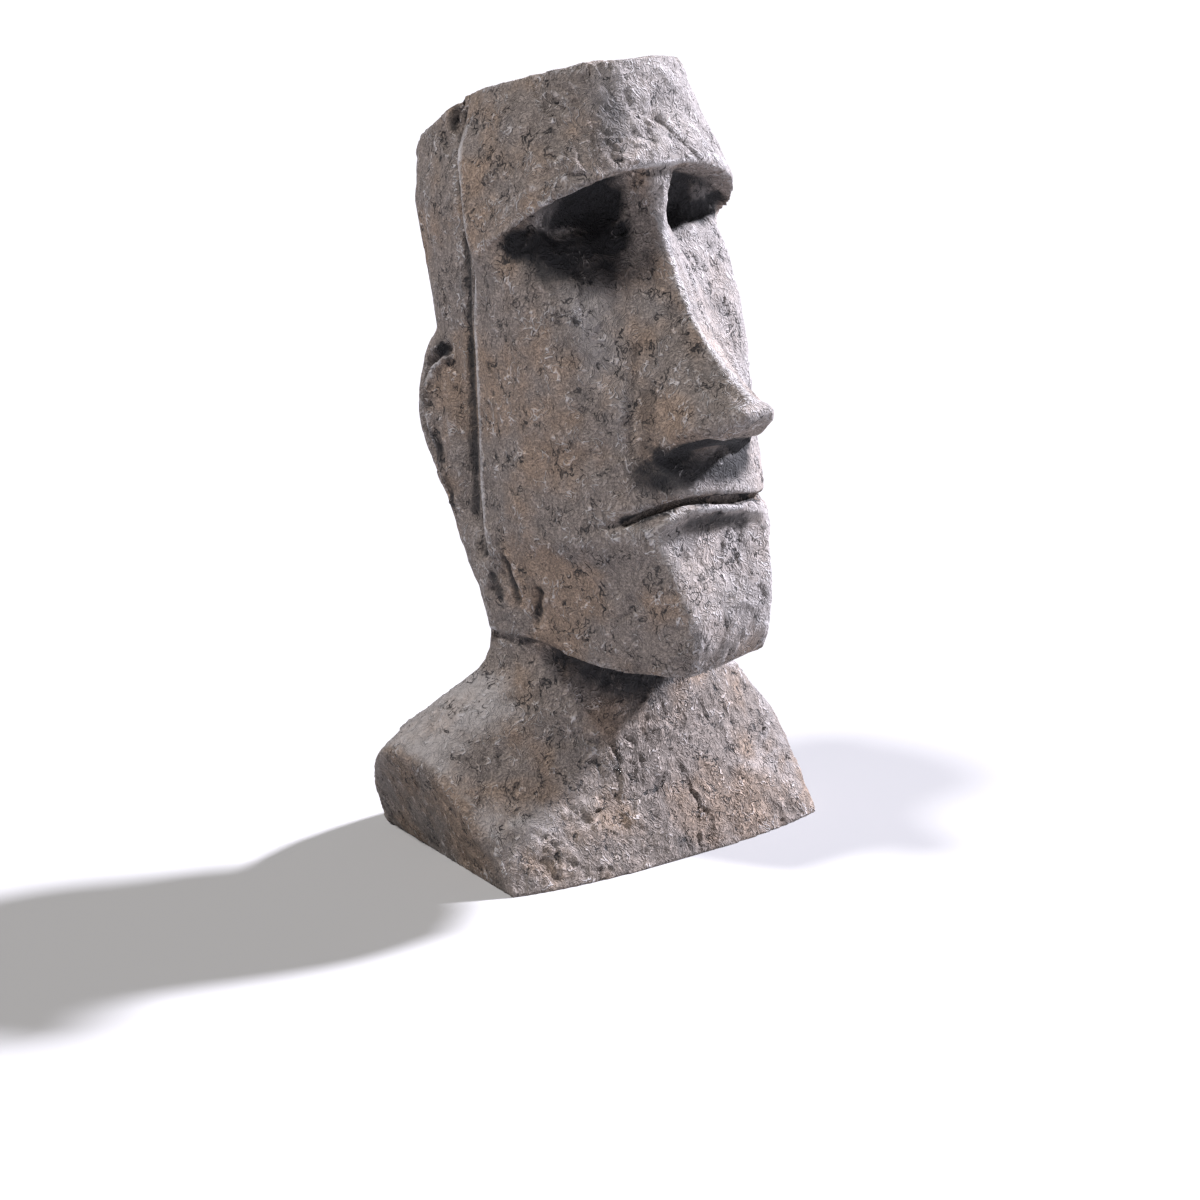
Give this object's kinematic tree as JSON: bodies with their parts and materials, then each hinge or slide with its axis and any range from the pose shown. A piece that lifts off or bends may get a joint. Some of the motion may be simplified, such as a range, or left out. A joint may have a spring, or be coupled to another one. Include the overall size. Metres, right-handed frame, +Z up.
{
  "type": "moai head statue",
  "caption": "Small standing bust of a long stone head with heavy brow, deep sockets, long nose, thin lips and jutting chin on sloping shoulders, flat underneath.",
  "frame": {"origin": "centre of the bounding rectangle of the bust, on the flat underside", "axes": "+Z up, the face looks toward -Y, +X to the statue's own left"},
  "size_m": [0.1206, 0.1212, 0.22],
  "materials": {
    "carved_stone": "grey-brown cast stone with crinkled relief, dark wash in the recesses and dry-brushed pale edges"
  },
  "bodies": {
    "root": {"moai_bust": "carved_stone"}
  },
  "joints": []
}
